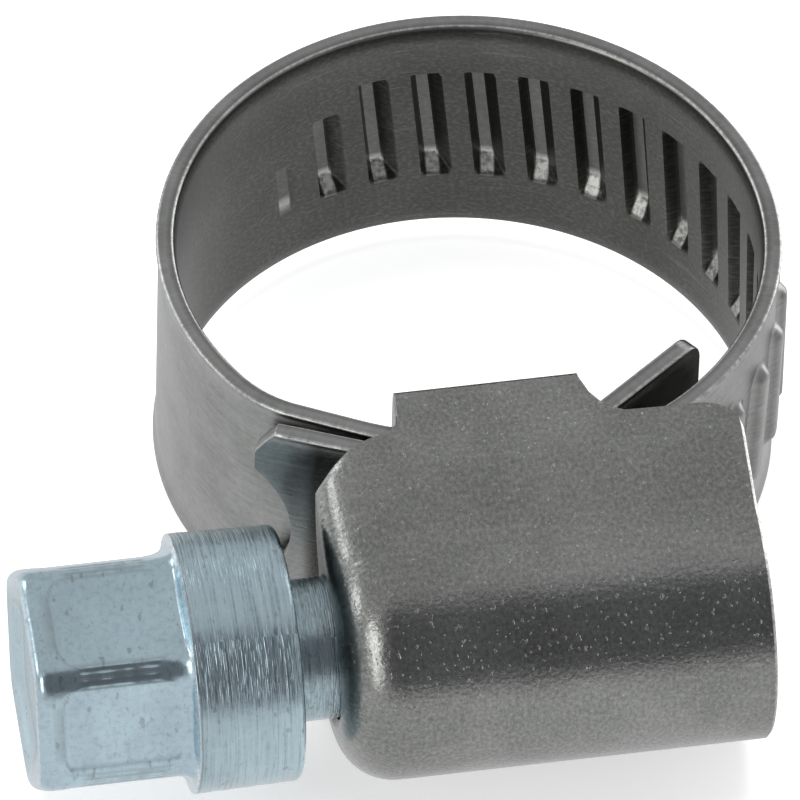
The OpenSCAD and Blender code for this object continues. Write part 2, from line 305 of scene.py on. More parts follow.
def metal(name, look):
    """A worked metal. Its UV map runs in millimetres along and across the direction of working."""
    material = bpy.data.materials.new(name)
    material.use_nodes = True
    tree = material.node_tree
    shader = tree.nodes["Principled BSDF"]
    uv = add(tree, "ShaderNodeUVMap", uv_map="Surface").outputs[0]
    place = add(tree, "ShaderNodeTexCoord").outputs["Object"]
    grime_and_painted_light = add(tree, "ShaderNodeAttribute", attribute_name="grime_and_painted_light").outputs["Fac"]
    worked = add(tree, "ShaderNodeAttribute", attribute_name="worked").outputs["Fac"]

    patches = noise(tree, place, (260, 260), 5, 0.65)
    grain = noise(tree, uv, look["grain"], 2, 0.5)
    lines = noise(tree, uv, look["lines"], 3, 0.7)
    mottle = noise(tree, uv, look["mottle"], 4, 0.75)
    scratch = noise(tree, uv, look["scratch"], 2, 0.4)
    lined = maths(tree, "MULTIPLY", maths(tree, "SUBTRACT", lines, 0.5), worked)

    # Colour: cloudy patches, the lines of working, fine mottling, then dirt with painted shade,
    #     painted highlights with exposed metal, and scratches, on the housing also painted glints.
    colour = mix(tree, ramp(tree, patches, 0.35, 0.66), look["dark"], look["light"])
    shade = maths(tree, "MULTIPLY", lined, look["line_tone"])
    speckle = maths(tree, "MULTIPLY", maths(tree, "SUBTRACT", mottle, 0.5), look["mottle_tone"])
    shade = maths(tree, "ADD", shade, speckle)
    colour = mix(tree, maths(tree, "MAXIMUM", shade, 0.0), colour, (1, 1, 1))
    darker = maths(tree, "MAXIMUM", maths(tree, "MULTIPLY", shade, -2.0), 0.0)
    colour = mix(tree, darker, colour, (0, 0, 0))
    painted_light_and_dirt = maths(tree, "MAXIMUM", grime_and_painted_light, 0.0)
    painted_light_and_dirt = maths(tree, "MULTIPLY", painted_light_and_dirt, ramp(tree, grain, 0.3, 0.6, look["darkening_low"], 1.0))
    painted_highlight_and_bare = maths(tree, "MAXIMUM", maths(tree, "MULTIPLY", grime_and_painted_light, -1.0), 0.0)
    painted_highlight_and_bare = maths(tree, "MULTIPLY", painted_highlight_and_bare, ramp(tree, mottle, 0.38, 0.6, 0.25, 1.0))
    colour = mix(tree, painted_light_and_dirt, colour, look["grime_and_painted_light"])
    colour = mix(tree, painted_highlight_and_bare, colour, look["painted_highlight_and_bare"])
    scar = ramp(tree, scratch, 0.65, 0.72)
    scratch_and_glint = maths(tree, "MULTIPLY", scar, look["scratch_and_glint_tone"])
    colour = mix(tree, scratch_and_glint, colour, look["scratch_and_glint_colour"])

    rough = ramp(tree, maths(tree, "ADD", lined, 0.5), 0.25, 0.75, *look["rough"])
    rough = maths(tree, "ADD", rough, maths(tree, "MULTIPLY", painted_light_and_dirt, look["darkening_rough"]))
    rough = maths(tree, "ADD", rough, maths(tree, "MULTIPLY", painted_highlight_and_bare, 0.2))

    height = maths(tree, "MULTIPLY", grain, look["grain_height"])
    height = maths(tree, "ADD", height, maths(tree, "MULTIPLY", lined, look["line_height"]))
    height = maths(tree, "SUBTRACT", height, maths(tree, "MULTIPLY", scar, look["scratch_height"]))
    height = maths(tree, "ADD", height, maths(tree, "MULTIPLY", patches, look["dent_height"]))
    bump = add(tree, "ShaderNodeBump", {"Height": height, "Strength": 1.0, "Distance": MM})
    tree.links.new(colour, shader.inputs["Base Color"])
    tree.links.new(rough, shader.inputs["Roughness"])
    tree.links.new(bump.outputs[0], shader.inputs["Normal"])
    shader.inputs["Metallic"].default_value = 1.0
    return material


# Pairs for grain, lines, mottle and scratch are waves per millimetre along and across the UV
# map. Heights are in millimetres.
# In each look, the grime colour is what dirt and painted shade darken towards, and the bare colour
# what painted highlights and exposed metal brighten towards.
band_steel = metal(
    "band_steel",
    {
        "dark": (0.30, 0.305, 0.295),
        "light": (0.39, 0.395, 0.385),
        "grime_and_painted_light": (0.045, 0.044, 0.038),
        "painted_highlight_and_bare": (1.0, 0.99, 0.95),
        "darkening_low": 0.85,
        "darkening_rough": 0.06,
        "grain": (6.0, 9.0),
        "lines": (0.3, 8.0),
        "mottle": (4.0, 5.0),
        "scratch": (0.3, 5.0),
        "scratch_and_glint_colour": (0.5, 0.5, 0.48),
        "line_tone": 0.35,
        "mottle_tone": 0.35,
        "scratch_and_glint_tone": 0.08,
        "rough": (0.26, 0.36),
        "grain_height": 0.004,
        "line_height": 0.005,
        "scratch_height": 0.004,
        "dent_height": 0.02,
    },
)
housing_steel = metal(
    "housing_steel",
    {
        "dark": (0.27, 0.275, 0.262),
        "light": (0.34, 0.345, 0.332),
        "grime_and_painted_light": (0.06, 0.055, 0.045),
        "painted_highlight_and_bare": (1.0, 0.99, 0.95),
        "darkening_low": 0.6,
        "darkening_rough": 0.1,
        "grain": (7.0, 7.0),
        "lines": (0.4, 3.0),
        "mottle": (8.0, 6.0),
        "scratch": (7.0, 4.5),
        # Its scratches are painted near white, as painted glints.
        "scratch_and_glint_colour": (1.0, 1.0, 0.96),
        "line_tone": 0.08,
        "mottle_tone": 0.85,
        "scratch_and_glint_tone": 0.08,
        "rough": (0.22, 0.28),
        "grain_height": 0.012,
        "line_height": 0.001,
        "scratch_height": 0.012,
        "dent_height": 0.006,
    },
)
screw_zinc = metal(
    "screw_zinc",
    {
        "dark": (0.48, 0.61, 0.68),
        "light": (0.57, 0.73, 0.81),
        "grime_and_painted_light": (0.13, 0.11, 0.08),
        "painted_highlight_and_bare": (0.95, 0.98, 1.0),
        "darkening_low": 0.35,
        "darkening_rough": 0.15,
        "grain": (5.0, 4.0),
        "lines": (10.0, 0.25),
        "mottle": (5.0, 4.0),
        "scratch": (3.6, 1.6),
        "scratch_and_glint_colour": (0.22, 0.22, 0.2),
        "line_tone": 0.9,
        "mottle_tone": 0.5,
        "scratch_and_glint_tone": 0.4,
        "rough": (0.12, 0.26),
        "grain_height": 0.004,
        "line_height": 0.045,
        "scratch_height": 0.002,
        "dent_height": 0.02,
    },
)


# ---------------------------------------------------------------- band


class Strip:
    """The band's middle line: a chain of straights and arcs, followed by distance."""

    def __init__(self, start, heading, runs):
        self.s, self.k = [0.0], []
        self.x, self.y, self.h = [start[0]], [start[1]], [radians(heading)]
        for length, turn in runs:
            self.k.append(radians(turn) / length)
            x, y, h = self.at(self.s[-1] + length)
            self.s.append(self.s[-1] + length)
            self.x.append(float(x))
            self.y.append(float(y))
            self.h.append(float(h))

    def at(self, s):
        """Place and heading in radians at distances s from the tail's end."""
        s = np.asarray(s, float)
        run = np.clip(np.searchsorted(self.s, s, side="right") - 1, 0, len(self.k) - 1)
        k = np.array(self.k)[run]
        x0, y0, h0 = (np.array(v)[run] for v in (self.x, self.y, self.h))
        ahead = s - np.array(self.s)[run]
        h = h0 + k * ahead
        # The chord of the piece of arc, which is the straight itself where k is 0.
        half = k * ahead / 2
        chord = ahead * np.sinc(half / pi)
        return x0 + chord * np.cos(h0 + half), y0 + chord * np.sin(h0 + half), h


def arc(radius, turn0, turn1):
    return radius * radians(turn1 - turn0), turn1 - turn0


base_mid = GUIDE_MID - BAND_T - LAYER_GAP
ease_y = (guide_y**2 + (ring_mid - EASE_R) ** 2 - (GUIDE_MID - EASE_R) ** 2) / (2 * guide_y)
ease_x = sqrt((ring_mid - EASE_R) ** 2 - ease_y**2)
ease_start = degrees(np.arctan2(ease_x, guide_y - ease_y))
ease_end = degrees(np.arctan2(ease_x, -ease_y))
last_x, last_y = hinges[-1][0], hinges[-1][1]
last_hinge = 360 + degrees(np.arctan2(last_x, -last_y))
step_a, step_b = radians(last_hinge - 360), radians(-STEP_TURN)
# The step from the ring to the fixed layer: one bend and one straight that end on it.
step_to = (base_mid * sin(step_b), guide_y - base_mid * cos(step_b))
step_system = np.array(
    [
        [sin(step_b) - sin(step_a), cos(step_b)],
        [cos(step_a) - cos(step_b), sin(step_b)],
    ]
)
step_bend_r, step_straight = np.linalg.solve(
    step_system, [step_to[0] - last_x, step_to[1] - last_y]
)
tail_s = GUIDE_MID * radians(TAIL_TURN)
front_s = TAIL_LEN + tail_s
tail_start = (
    -GUIDE_MID * sin(radians(TAIL_TURN)) - TAIL_LEN * cos(radians(TAIL_TURN)),
    guide_y - GUIDE_MID * cos(radians(TAIL_TURN)) + TAIL_LEN * sin(radians(TAIL_TURN)),
)
strip = Strip(
    tail_start,
    -TAIL_TURN,
    [
        (TAIL_LEN, 0),
        arc(GUIDE_MID, -TAIL_TURN, ease_start),
        arc(EASE_R, ease_start, ease_end),
        arc(ring_mid, ease_end, last_hinge),
        arc(step_bend_r, last_hinge - 360, -STEP_TURN),
        (step_straight, 0),
        arc(base_mid, -STEP_TURN, TONGUE_BEND_TURN),
        arc(TONGUE_BEND_R, TONGUE_BEND_TURN, TONGUE_SLOPE),
        (TONGUE_LEN, 0),
    ],
)
base_s = strip.s[6]
open_joint_s = base_s + base_mid * radians(OPEN_JOINT_TURN + STEP_TURN)
strip_end = strip.s[-1]


def ridge_s(i):
    """Distance from the tail's end to ridge i, at the band's half width."""
    return front_s + RIDGE_START + i * THREAD_PITCH


first_ridge = -int((ridge_s(0) - TAIL_SMOOTH - RIDGE_W) // THREAD_PITCH)
threads = np.array([ridge_s(i) for i in range(first_ridge, RIDGE_COUNT + 1)])
# The last thread is barely pressed, and the last two stop short of their upper end.
thread_depths = np.ones(len(threads))
thread_depths[-1] = FAINT_THREAD
thread_tops = np.full(len(threads), POCKET_Z[3])
thread_tops[-2:] = (1.5, 0.1)


def thread_place(s, z):
    """Where each point lies on its nearest thread: across it, beyond its straight part,
    how fully that thread was pressed and how far up its pocket reaches."""
    along = s[..., None] - z[..., None] * tan(radians(RIDGE_SLOPE)) - threads
    nearest = np.abs(along).argmin(axis=-1)
    across = np.take_along_axis(along, nearest[..., None], -1)[..., 0]
    beyond = np.maximum(np.abs(z) - (RIDGE_LEN - RIDGE_W) / 2, 0)
    return across, beyond, thread_depths[nearest], thread_tops[nearest]


def ridge_height(s, z):
    """The thread's rounded ridge on the outer side."""
    across, beyond, full, _ = thread_place(s, z)
    away = np.hypot(across, beyond)
    return RIDGE_H * full * (1 - smooth(0.16, RIDGE_W / 2 + 0.2, away))


def pocket_depth(s, z):
    """The thread's pocket on the inner side: a long wall, a floor and a short wall. Its
    floor runs out at the lower end and stops short at the upper end."""
    across, _, full, top = thread_place(s, z)
    walls = np.interp(across, np.array(POCKET_ACROSS) * STATION, [0, 1, 1, 0])
    lower = np.interp(z, POCKET_Z[:2], [0, 1])
    upper = np.clip((top - z) / (POCKET_Z[3] - POCKET_Z[2]), 0, 1)
    return POCKET_DEPTH * full * np.minimum(walls, lower * upper)


def section():
    """Half of the band's cross-section, from its lower rim's middle to its upper rim's:
    places across its width, and shares of half its thickness."""
    face = np.concatenate(
        [
            np.linspace(-half_w + RIM_R, -half_w + FLARE_W, 5)[:-1],
            np.linspace(-half_w + FLARE_W, -2.7, 8)[:-1],
            np.linspace(-2.7, 2.7, 55),
        ]
    )
    face = np.concatenate([face, -face[: len(face) - 55][::-1]])
    z, share = [], []
    for turn in (90, 90, 60, 30):
        z.append(-half_w + RIM_R * (1 - sin(radians(turn))))
        share.append(1 - RIM_R / (BAND_T / 2) * (1 - cos(radians(turn))))
    share[0] = 0.0
    rim_z, rim_share = np.array(z), np.array(share)
    return (
        np.concatenate([rim_z, face, -rim_z[::-1]]),
        np.concatenate([rim_share, np.ones(len(face)), rim_share[::-1]]),
    )


section_z, section_share = section()


def tail_tip(z):
    """How far the tail's end is set back at each place across the band."""
    corner = TAIL_CORNER[0] * (np.abs(z) - (half_w - TAIL_CORNER[1])) / TAIL_CORNER[1]
    notch = TAIL_NOTCH_DEPTH - TAIL_NOTCH_R + np.sqrt(np.maximum(TAIL_NOTCH_R**2 - z**2, 0))
    return np.maximum(np.maximum(corner, notch), 0)


def tongue_tip(z):
    """How far the tongue's end is set back at each place across the band."""
    over = np.maximum(np.abs(z) - (half_w - TONGUE_CORNER_R), 0)
    return TONGUE_CORNER_R - np.sqrt(TONGUE_CORNER_R**2 - np.minimum(over, TONGUE_CORNER_R) ** 2)


def stations(s0, s1):
    """Places along the strip, close together where threads are pressed."""
    made = [s0]
    while made[-1] < s1 - 0.02:
        near = threads[0] - 1 < made[-1] < threads[-1] + 1
        step = STATION if near else 0.25
        if near:
            # In step with the threads, so that the pockets' edges lie on stations.
            step += round((made[-1] - threads[0]) / STATION) * STATION - (made[-1] - threads[0])
        made.append(min(made[-1] + step, s1))
    return np.array(made)


def band_piece(name, s0, s1, start_cut=None, end_cut=None):
    """A stretch of the band between two distances, with its rims, threads and end shape."""
    along = stations(s0, s1)
    scale = np.ones(len(along))
    if start_cut:
        along = np.concatenate([[s0, s0, s0 + TIP_STEP], along[1:] + TIP_SHIFT])
        along[-1] = s1
        scale = np.concatenate([TIP_SHARES, np.ones(len(along) - len(TIP_SHARES))])
    if end_cut:
        along = np.concatenate([along[:-1] - TIP_SHIFT, [s1 - TIP_STEP, s1, s1]])
        along[0] = s0
        scale = np.concatenate([np.ones(len(along) - len(TIP_SHARES)), TIP_SHARES[::-1]])
    s, z = np.meshgrid(along, section_z, indexing="ij")
    share = np.broadcast_to(section_share, s.shape) * scale[:, None]
    # Stations lean with the threads, and stand square where the strip is plain.
    lean = tan(radians(RIDGE_SLOPE)) * (
        smooth(0.5, TAIL_SMOOTH + 0.5, s) - smooth(threads[-1] + 2, threads[-1] + 6, s)
    )
    s = s + z * lean
    if start_cut:
        fade = 1 - smooth(0, TAIL_SMOOTH, along)[:, None]
        s = s + start_cut(z) * fade
    if end_cut:
        fade = smooth(strip_end - 2.2, strip_end, along)[:, None]
        s = s - end_cut(z) * fade
    flare = FLARE * smooth(half_w - FLARE_W, half_w, np.abs(z)) ** 1.5
    if end_cut:
        flare = flare * BASE_FLARE
    bump = ridge_height(s, z)
    pocket = pocket_depth(s, z)
    outer = -BAND_T / 2 * share - flare - bump
    inner = BAND_T / 2 * share - flare - pocket
    x, y, h = strip.at(s)
    sides = []
    for offset in (outer, inner):
        sides.append(np.stack([x - offset * np.sin(h), y + offset * np.cos(h), z], axis=-1))
    n = len(section_z)
    # One loop of points at each station: up the outer side, then down the inner side.
    points = np.concatenate([sides[0], sides[1][:, ::-1]], axis=1)
    girth = np.concatenate([section_z + half_w, 3 * half_w + BAND_T + section_z])
    girth = np.append(girth, girth[-1] + BAND_T)
    faces, uvs = quads(uv_grid(along, girth), closed=True)
    for i, flip in ((0, False), (len(along) - 1, True)):
        loop = i * 2 * n
        for j in range(n - 1):
            a, b = loop + j, loop + j + 1
            c, d = loop + 2 * n - 2 - j, loop + 2 * n - 1 - j
            faces.append((a, b, c, d)[::-1] if flip else (a, b, c, d))
            for k in faces[-1]:
                uvs.append((along[i], (k - loop) * 0.1))
    across = thread_place(s, z)[0]
    # Painted shade on the pockets' walls, less on their floor, and a painted highlight on the torn
    # metal where the floor runs out.
    on_floor = (across > (POCKET_ACROSS[1] - 0.5) * STATION) * (
        across < (POCKET_ACROSS[2] + 0.5) * STATION
    )
    torn_and_highlight = on_floor * np.interp(z, [-2.35, -2.2, -1.7, -1.3], [0, 1, 1, 0])
    in_pocket = 0.97 - 0.3 * on_floor - 1.8 * torn_and_highlight
    depth = smooth(0.0, 0.06, pocket)
    face = smooth(0.6, 0.95, share) * (np.abs(z) < half_w - 0.05)
    # Painted shade over the inner face, a little lighter towards the upper rim.
    plain = INNER_PAINTED_SHADE - 0.12 * smooth(2.0, 4.4, z)
    inside = face * (plain + (in_pocket - plain) * depth)
    outside = 0.35 * smooth(0.0, 0.2, bump) * (1 - smooth(0.2, 0.34, bump))
    # Painted highlights on the rims' rounded edges, with a painted dark line beside the inner one.
    n_rim = np.minimum(np.arange(n), np.arange(n)[::-1])
    inside = inside + np.interp(n_rim, [0, 1, 2, 3, 4], [0, 0.45, -0.7, -0.4, 0])
    outside = outside + np.interp(n_rim, [0, 1, 2, 3, 4], [0, 0.1, -0.5, -0.3, 0])
    if start_cut:
        # Painted shade and a painted dark reflection of the housing, where the tail meets it.
        outside = outside + 0.95 * smooth(1.5, 2.1, s) * (n_rim > 3)
    painted_light_and_dirt = np.concatenate([outside, inside[:, ::-1]], axis=1)
    worked = np.concatenate([np.ones(n), np.full(n, 0.15)])
    worked = np.broadcast_to(worked, painted_light_and_dirt.shape)
    made = make_piece(
        name, points.reshape(-1, 3), faces, uvs, band_steel, painted_light_and_dirt.ravel(), worked.ravel()
    )
    return made


# The strip is cut half way between the hinges, so that each piece takes in one hinge.
cuts = [ridge_s(FIRST_CUT + RIDGES_PER_SPAN * k) for k in range(SPANS)]
tail = band_piece("band_tail", 0.0, cuts[0], start_cut=tail_tip)
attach(tail, "band_threaded_end")
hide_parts("band_threaded_end")
for k in range(SPANS):
    span = f"band_span_{k + 1}"
    s0 = cuts[k]
    end = open_joint_s if k == SPANS - 1 else cuts[k + 1]
    piece = band_piece(f"band_part_{k + 1}", s0, end)
    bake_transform(piece)
    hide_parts(span)
base = band_piece("band_base", open_joint_s + OPEN_GAP, strip_end, end_cut=tongue_tip)
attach(base, "housing")
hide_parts("band_fixed_end")


# ---------------------------------------------------------------- housing


def outline_points():
    """The housing's cross-section, from the middle of its front to one tab's edge:
    its half circle, the sloping and the straight side plate, and the folded tab."""
    turns = np.linspace(0, 90, 40)
    pts = [(screw_y - FRONT_R * cos(radians(t)), FRONT_R * sin(radians(t))) for t in turns]
    for t in np.linspace(0, 1, 12)[1:-1]:
        pts.append((screw_y + t * (SLOPE_Y - screw_y), FRONT_R + t * (side_z - FRONT_R)))
    bend_y = TAB_Y - TAB_BEND_R
    for y in np.linspace(SLOPE_Y, bend_y, 8):
        pts.append((y, side_z))
    for t in np.linspace(0, 90, 9)[1:]:
        pts.append(
            (
                bend_y + TAB_BEND_R * sin(radians(t)),
                side_z - TAB_BEND_R * (1 - cos(radians(t))),
            )
        )
    for z in np.linspace(side_z - TAB_BEND_R, side_z - TAB_BEND_R - TAB_FOLD, 10)[1:]:
        pts.append((TAB_Y, z))
    return np.array(pts)


def smoothed(points, rounds):
    """Evenly spaced along their length, with their corners rounded."""
    steps = np.hypot(*np.diff(points, axis=0).T)
    length = np.concatenate([[0], np.cumsum(steps)])
    even = np.linspace(0, length[-1], 400)
    pts = np.stack([np.interp(even, length, points[:, c]) for c in (0, 1)], axis=1)
    for _ in range(rounds):
        pts[1:-1] = (pts[:-2] + 2 * pts[1:-1] + pts[2:]) / 4
    steps = np.hypot(*np.diff(pts, axis=0).T)
    return pts, np.concatenate([[0], np.cumsum(steps)])


outline, outline_u = smoothed(outline_points(), 60)


def outline_at(u):
    """Places and outward normals of the cross-section at distances u from the front."""
    side = np.sign(u)
    side[side == 0] = 1
    size = np.abs(u)
    y = np.interp(size, outline_u, outline[:, 0])
    z = np.interp(size, outline_u, outline[:, 1])
    eps = 0.05
    dy = np.interp(size + eps, outline_u, outline[:, 0]) - np.interp(
        np.abs(size - eps), outline_u, outline[:, 0]
    )
    dz = np.interp(size + eps, outline_u, outline[:, 1]) - np.sign(size - eps) * np.interp(
        np.abs(size - eps), outline_u, outline[:, 1]
    )
    length = np.hypot(dy, dz)
    return y, side * z, -dz / length, side * dy / length


def edge_y(x):
    """Where the side plate ends at each place along the screw, beside the tab."""
    y = np.interp(
        x,
        [front_x[0], -6.1, -5.4, -4.7, TAB_X[0] - 0.55, TAB_X[0] - 0.12, TAB_X[0]],
        [WALL_Y - 0.1, -9.75, -9.25, -8.95, -8.82, -8.45, TAB_Y - TAB_BEND_R],
    )
    right = np.interp(
        x,
        [TAB_X[1], TAB_X[1] + 0.2, 2.75, MOUTH_START, 4.2, front_x[1]],
        [TAB_Y - TAB_BEND_R, -8.0, -8.5, MOUTH_Y, MOUTH_Y - 0.03, MOUTH_Y - 0.08],
    )
    y = np.where(x > 0, right, y)
    corner = MOUTH_CORNER_R
    over = np.clip(x - (front_x[1] - corner), 0, corner)
    return y - (corner - np.sqrt(np.maximum(corner**2 - over**2, 0)))


plate_y = outline[:, 0]
plate_part = slice(0, int(np.argmax(plate_y > TAB_Y - TAB_BEND_R + 0.01)))


def edge_u(x):
    return np.interp(edge_y(x), plate_y[plate_part], outline_u[plate_part])


def housing_piece():
    body_x = np.unique(
        np.concatenate(
            [
                np.linspace(front_x[0] + NOSE_LEN, TAB_X[0] - TAB_ROOT, 8),
                np.linspace(TAB_X[0] - TAB_ROOT, TAB_X[0], 8),
                np.linspace(TAB_X[0], TAB_X[1], 22),
                np.linspace(TAB_X[1], MOUTH_START, 12),
                np.linspace(MOUTH_START, front_x[1] - MOUTH_CORNER_R, 10),
                front_x[1]
                - MOUTH_CORNER_R * (1 - np.sin(np.radians(np.linspace(0, 60, 11)))),
                front_x[1] - CHAMFER * np.array([1, 0.55, 0.2, 0]),
            ]
        )
    )
    half = 60
    share = np.arange(-half, half + 1) / half
    points, grime_and_painted_light, uv = [], [], []
    # The end wall, from the neck's hole outwards, then the rounded nose, then the body.
    nose_turns = np.linspace(90, 0, 12)[1:]
    hole_r = NECK_R + NECK_GAP
    wall_steps = [0, 0.2, 0.45, 0.75, 1.0]
    nose_x = front_x[0]
    u_edge = edge_u(np.array([nose_x + 0.2]))[0]
    u = share * u_edge
    y, z, ny, nz = outline_at(u)
    nose_inset = NOSE_INSET + (NOSE_EDGE_INSET - NOSE_INSET) * smooth(
        FRONT_R * 1.2, u_edge, np.abs(u)
    )
    rim_y, rim_z = y - nose_inset * ny, z - nose_inset * nz
    hole_turn = np.radians(share * 168)
    hole_y, hole_z = screw_y - hole_r * np.cos(hole_turn), hole_r * np.sin(hole_turn)
    for t in wall_steps:
        bulge = WALL_BULGE * (1 - smooth(0, 0.7, t))
        points.append(
            np.stack(
                [
                    np.full(len(u), nose_x + bulge),
                    hole_y + (rim_y - hole_y) * t,
                    hole_z + (rim_z - hole_z) * t,
                ],
                axis=1,
            )
        )
        uv.append(np.stack([np.full(len(u), nose_x - 3 + 2 * t), u], axis=1))
        # Painted shade on the end wall, deepest at the neck's hole.
        grime_and_painted_light.append(np.full(len(u), 0.7 * (1 - t)))
    for turn in nose_turns:
        inset = nose_inset * (1 - cos(radians(turn)))
        x = nose_x + NOSE_LEN * (1 - sin(radians(turn)))
        u_here = share * edge_u(np.array([x]))[0]
        y, z, ny, nz = outline_at(u_here)
        points.append(np.stack([np.full(len(u), x), y - inset * ny, z - inset * nz], axis=1))
        uv.append(np.stack([np.full(len(u), x), u_here], axis=1))
        grime_and_painted_light.append(np.full(len(u), 0.0))
    for x in body_x[1:]:
        u_end = edge_u(np.array([x]))[0]
        u_here = share * u_end
        # Chamfers along the mouth's edge and round its corners.
        cut = max(1 - (front_x[1] - x) / CHAMFER, 0)
        inset = np.full(len(u), CHAMFER * cut)
        # The chamfered edges are painted bright as highlights.
        bright_edge = np.full(len(u), -0.6 * cut)
        if x > TAB_X[1] + 0.3:
            bright_edge[[0, -1]] = -0.6
            u_here[[1, -2]] = (CHAMFER - u_end, u_end - CHAMFER)
            inset[[0, -1]] += CHAMFER * smooth(TAB_X[1] + 0.3, TAB_X[1] + 1, x)
        y, z, ny, nz = outline_at(u_here)
        points.append(np.stack([np.full(len(u), x), y - inset * ny, z - inset * nz], axis=1))
        uv.append(np.stack([np.full(len(u), x), u_here], axis=1))
        grime_and_painted_light.append(bright_edge)
    cols = len(share)
    faces, uvs = quads(np.array(uv))
    grid_rows = len(points)
    flat = [p for row in points for p in row]
    painted_light_and_dirt = [g for row in grime_and_painted_light for g in row]
    # The tabs go on from the side plates' edges, between their two ends.
    first_body = grid_rows - (len(body_x) - 1)
    tab_rows = [
        first_body + i - 1
        for i, x in enumerate(body_x)
        if TAB_X[0] - 1e-6 <= x <= TAB_X[1] + 1e-6
    ]
    u_root = edge_u(np.array([0.0]))[0]
    tab_levels = np.linspace(u_root, outline_u[-1], 26)
    for side in (-1, 1):
        edge_col = 0 if side < 0 else cols - 1
        columns = [[row * cols + edge_col for row in tab_rows]]
        for u_tab in tab_levels[1:]:
            y, z, _, _ = outline_at(np.array([side * u_tab]))
            column = []
            along = (u_tab - u_root) / (outline_u[-1] - u_root)
            inset = TAB_END_INSET * smooth(0.86, 1.0, along) ** 2
            for row in tab_rows:
                x = flat[row * cols][0]
                middle = (TAB_X[0] + TAB_X[1]) / 2
                x = middle + (x - middle) * (1 - inset / (TAB_X[1] - TAB_X[0]) * 2)
                column.append(len(flat))
                flat.append(np.array([x, y[0], z[0]]))
                painted_light_and_dirt.append(0.0)
            columns.append(column)
        for m in range(len(columns) - 1):
            for i in range(len(tab_rows) - 1):
                a, b = columns[m][i], columns[m][i + 1]
                c, d = columns[m + 1][i + 1], columns[m + 1][i]
                face = (a, b, c, d) if side > 0 else (a, d, c, b)
                faces.append(face)
                for k in face:
                    level = m if k in (a, b) else m + 1
                    uvs.append((flat[k][0], side * tab_levels[level]))
    made = make_piece("housing_shell", flat, faces, uvs, housing_steel, painted_light_and_dirt)
    wall = made.modifiers.new("sheet", "SOLIDIFY")
    wall.thickness = SHEET_T * MM
    wall.offset = -1
    bevel = made.modifiers.new("edges", "BEVEL")
    bevel.width = EDGE_BEVEL * MM
    bevel.segments = 2
    bevel.limit_method = "ANGLE"
    bevel.angle_limit = radians(50)
    bevel.harden_normals = False
    return made


housing = housing_piece()
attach(housing, "housing")
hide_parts("housing")


# ---------------------------------------------------------------- screw


def hex_radius(turn):
    """The hexagon's radius in each direction, with rounded edges."""
    power = 13
    faces = [
        np.maximum(np.cos(np.radians(turn - HEX_TURN - 30 - 60 * k)), 0) ** power
        for k in range(6)
    ]
    return HEX_AF / 2 / sum(faces) ** (1 / power)


